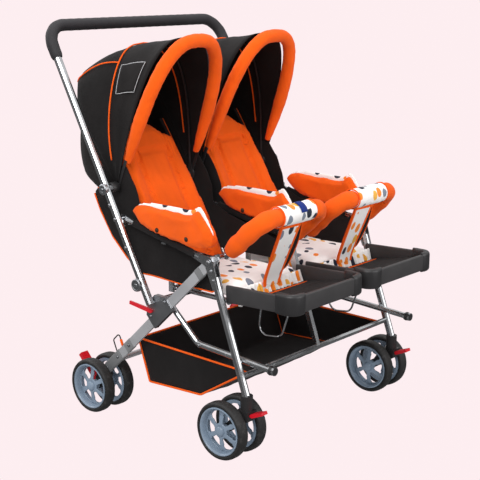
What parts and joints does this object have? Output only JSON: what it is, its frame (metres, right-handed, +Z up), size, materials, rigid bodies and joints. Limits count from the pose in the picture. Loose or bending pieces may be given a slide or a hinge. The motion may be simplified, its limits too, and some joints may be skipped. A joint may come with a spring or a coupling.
{
  "type": "double pram",
  "caption": "Side-by-side folding double pram with two seats, two hoods, a foam push handle, footrests, a basket and swivelling twin front wheels.",
  "frame": {"origin": "on the ground, under the middle of the whole pram", "axes": "+Z up, +Y towards the pusher, -Y the way it travels, +X towards the pram's left"},
  "size_m": [0.7338, 0.8462, 1.0585],
  "materials": {
    "chrome_tube": "polished tube",
    "steel_plate": "pressed steel",
    "painted_leg": "satin paint",
    "black_plastic": "moulded",
    "grip_foam": "foam sleeve",
    "red_plastic": "moulded",
    "grey_rim": "moulded",
    "tyre_foam": "foam tyre",
    "orange_cloth": "padded cloth",
    "black_cloth": "woven cloth",
    "printed_cloth": "white cloth printed with rounded spots"
  },
  "bodies": {
    "seat_unit": {"armrest_tube_left": "chrome_tube", "armrest_tube_right": "chrome_tube", "armrest_tube_centre": "chrome_tube", "arm_pad_left": "orange_cloth", "arm_pad_right": "orange_cloth", "arm_pad_centre": "orange_cloth", "seat_frame": "chrome_tube", "seat_cushion_left": "printed_cloth", "seat_cushion_right": "printed_cloth", "side_panel_left": "black_cloth", "side_panel_right": "black_cloth", "bumper_bar_left": "orange_cloth", "bumper_bar_right": "orange_cloth", "crotch_strap_left": "printed_cloth", "crotch_strap_right": "printed_cloth", "basket": "black_cloth"},
    "handle": {"handle_tube_left": "chrome_tube", "handle_tube_right": "chrome_tube", "handle_grip": "grip_foam", "centre_post": "chrome_tube", "hood_cloth_left": "black_cloth", "hood_cloth_right": "black_cloth"},
    "rear_frame": {"rear_leg_frame": "painted_leg", "rear_axle_housing_left": "black_plastic", "rear_axle_housing_right": "black_plastic"},
    "front_frame": {"front_leg_frame": "chrome_tube", "castor_socket_left": "black_plastic", "castor_socket_right": "black_plastic"},
    "links": {"link_left": "chrome_tube", "link_right": "chrome_tube"},
    "runners": {"runner_left": "steel_plate", "runner_right": "steel_plate"},
    "release_lever_left": {"release_lever_left": "red_plastic"},
    "back_left": {"back_cushion_left": "orange_cloth"},
    "hood_rim_left": {"hood_rim_left": "orange_cloth"},
    "hood_bow_left": {"hood_bow_left": "black_plastic"},
    "footrest_left": {"footrest_left": "black_plastic"},
    "castor_left": {"castor_left": "black_plastic"},
    "castor_brake_left": {"castor_brake_left": "red_plastic"},
    "rear_brake_left": {"rear_brake_left": "red_plastic"},
    "rear_wheels_left": {"rear_left_rims": "grey_rim", "rear_left_outer_tyre": "tyre_foam", "rear_left_inner_tyre": "tyre_foam"},
    "front_wheels_left": {"front_left_rims": "grey_rim", "front_left_outer_tyre": "tyre_foam", "front_left_inner_tyre": "tyre_foam"},
    "release_lever_right": {"release_lever_right": "red_plastic"},
    "back_right": {"back_cushion_right": "orange_cloth"},
    "hood_rim_right": {"hood_rim_right": "orange_cloth"},
    "hood_bow_right": {"hood_bow_right": "black_plastic"},
    "footrest_right": {"footrest_right": "black_plastic"},
    "castor_right": {"castor_right": "black_plastic"},
    "castor_brake_right": {"castor_brake_right": "red_plastic"},
    "rear_brake_right": {"rear_brake_right": "red_plastic"},
    "rear_wheels_right": {"rear_right_rims": "grey_rim", "rear_right_outer_tyre": "tyre_foam", "rear_right_inner_tyre": "tyre_foam"},
    "front_wheels_right": {"front_right_rims": "grey_rim", "front_right_outer_tyre": "tyre_foam", "front_right_inner_tyre": "tyre_foam"}
  },
  "joints": [
    {"name": "handle_fold", "type": "hinge", "parent": "seat_unit", "child": "handle", "pos_m": [0, 0.1395, 0.554], "axis": [1, 0, 0], "range_deg": [0, 52.15], "deforming": ["basket"]},
    {"name": "rear_leg_fold", "type": "hinge", "parent": "seat_unit", "child": "rear_frame", "pos_m": [0, -0.172, 0.487], "axis": [1, 0, 0], "range_deg": [0, 18.51]},
    {"name": "front_leg_fold", "type": "hinge", "parent": "seat_unit", "child": "front_frame", "pos_m": [0, -0.172, 0.487], "axis": [1, 0, 0], "range_deg": [0, 46.36]},
    {"name": "link_fold", "type": "hinge", "parent": "front_frame", "child": "links", "pos_m": [0, -0.2599, 0.2455], "axis": [1, 0, 0], "range_deg": [-54.32, 0]},
    {"name": "runner_slide", "type": "slide", "parent": "rear_frame", "child": "runners", "axis": [0, 0.7278, -0.6858], "range_m": [0, 0.1901]},
    {"name": "release_lever_left_press", "type": "hinge", "parent": "runners", "child": "release_lever_left", "pos_m": [0.3245, 0.0338, 0.3233], "axis": [1, 0, 0], "range_deg": [0, 20]},
    {"name": "back_left_recline", "type": "hinge", "parent": "handle", "child": "back_left", "pos_m": [0.1573, 0.0321, 0.4014], "axis": [1, 0, 0], "range_deg": [-25, 0]},
    {"name": "hood_left_fold", "type": "hinge", "parent": "handle", "child": "hood_rim_left", "pos_m": [0.155, 0.1803, 0.6286], "axis": [1, 0, 0], "range_deg": [-36, 0], "deforming": ["hood_cloth_left"]},
    {"name": "hood_bow_left_follow", "type": "hinge", "parent": "handle", "child": "hood_bow_left", "pos_m": [0.155, 0.1803, 0.6286], "axis": [1, 0, 0], "range_deg": [-31.4, 0]},
    {"name": "footrest_left_drop", "type": "hinge", "parent": "seat_unit", "child": "footrest_left", "pos_m": [0.158, -0.205, 0.385], "axis": [1, 0, 0], "range_deg": [0, 30]},
    {"name": "rear_wheels_left_spin", "type": "hinge", "parent": "rear_frame", "child": "rear_wheels_left", "pos_m": [0.3155, 0.24, 0.075], "axis": [1, 0, 0], "continuous": true},
    {"name": "castor_left_swivel", "type": "hinge", "parent": "front_frame", "child": "castor_left", "pos_m": [0.3155, -0.29, 0.132], "axis": [0, 0, 1], "continuous": true},
    {"name": "front_wheels_left_spin", "type": "hinge", "parent": "castor_left", "child": "front_wheels_left", "pos_m": [0.3155, -0.24, 0.075], "axis": [1, 0, 0], "continuous": true},
    {"name": "castor_brake_left_press", "type": "hinge", "parent": "castor_left", "child": "castor_brake_left", "pos_m": [0.3155, -0.3135, 0.1237], "axis": [1, 0, 0], "range_deg": [0, 25]},
    {"name": "rear_brake_left_press", "type": "hinge", "parent": "rear_frame", "child": "rear_brake_left", "pos_m": [0.3155, 0.26, 0.0804], "axis": [1, 0, 0], "range_deg": [-16, 0]},
    {"name": "release_lever_right_press", "type": "hinge", "parent": "runners", "child": "release_lever_right", "pos_m": [-0.3245, 0.0338, 0.3233], "axis": [1, 0, 0], "range_deg": [0, 20]},
    {"name": "back_right_recline", "type": "hinge", "parent": "handle", "child": "back_right", "pos_m": [-0.1573, 0.0321, 0.4014], "axis": [1, 0, 0], "range_deg": [-25, 0]},
    {"name": "hood_right_fold", "type": "hinge", "parent": "handle", "child": "hood_rim_right", "pos_m": [-0.155, 0.1803, 0.6286], "axis": [1, 0, 0], "range_deg": [-36, 0], "deforming": ["hood_cloth_right"]},
    {"name": "hood_bow_right_follow", "type": "hinge", "parent": "handle", "child": "hood_bow_right", "pos_m": [-0.155, 0.1803, 0.6286], "axis": [1, 0, 0], "range_deg": [-31.4, 0]},
    {"name": "footrest_right_drop", "type": "hinge", "parent": "seat_unit", "child": "footrest_right", "pos_m": [-0.158, -0.205, 0.385], "axis": [1, 0, 0], "range_deg": [0, 30]},
    {"name": "rear_wheels_right_spin", "type": "hinge", "parent": "rear_frame", "child": "rear_wheels_right", "pos_m": [-0.3155, 0.24, 0.075], "axis": [1, 0, 0], "continuous": true},
    {"name": "castor_right_swivel", "type": "hinge", "parent": "front_frame", "child": "castor_right", "pos_m": [-0.3155, -0.29, 0.132], "axis": [0, 0, 1], "continuous": true},
    {"name": "front_wheels_right_spin", "type": "hinge", "parent": "castor_right", "child": "front_wheels_right", "pos_m": [-0.3155, -0.24, 0.075], "axis": [1, 0, 0], "continuous": true},
    {"name": "castor_brake_right_press", "type": "hinge", "parent": "castor_right", "child": "castor_brake_right", "pos_m": [-0.3155, -0.3135, 0.1237], "axis": [1, 0, 0], "range_deg": [0, 25]},
    {"name": "rear_brake_right_press", "type": "hinge", "parent": "rear_frame", "child": "rear_brake_right", "pos_m": [-0.3155, 0.26, 0.0804], "axis": [1, 0, 0], "range_deg": [-16, 0]}
  ],
  "couplings": [
    {"joint": "rear_leg_fold", "follows": "handle_fold", "ratio": 0.3548},
    {"joint": "front_leg_fold", "follows": "handle_fold", "ratio": 0.8888},
    {"joint": "link_fold", "follows": "handle_fold", "ratio": -1.0414},
    {"joint": "runner_slide", "follows": "handle_fold", "m_per_rad": 0.2087},
    {"joint": "hood_bow_left_follow", "follows": "hood_left_fold", "ratio": 0.87},
    {"joint": "hood_bow_right_follow", "follows": "hood_right_fold", "ratio": 0.87}
  ]
}
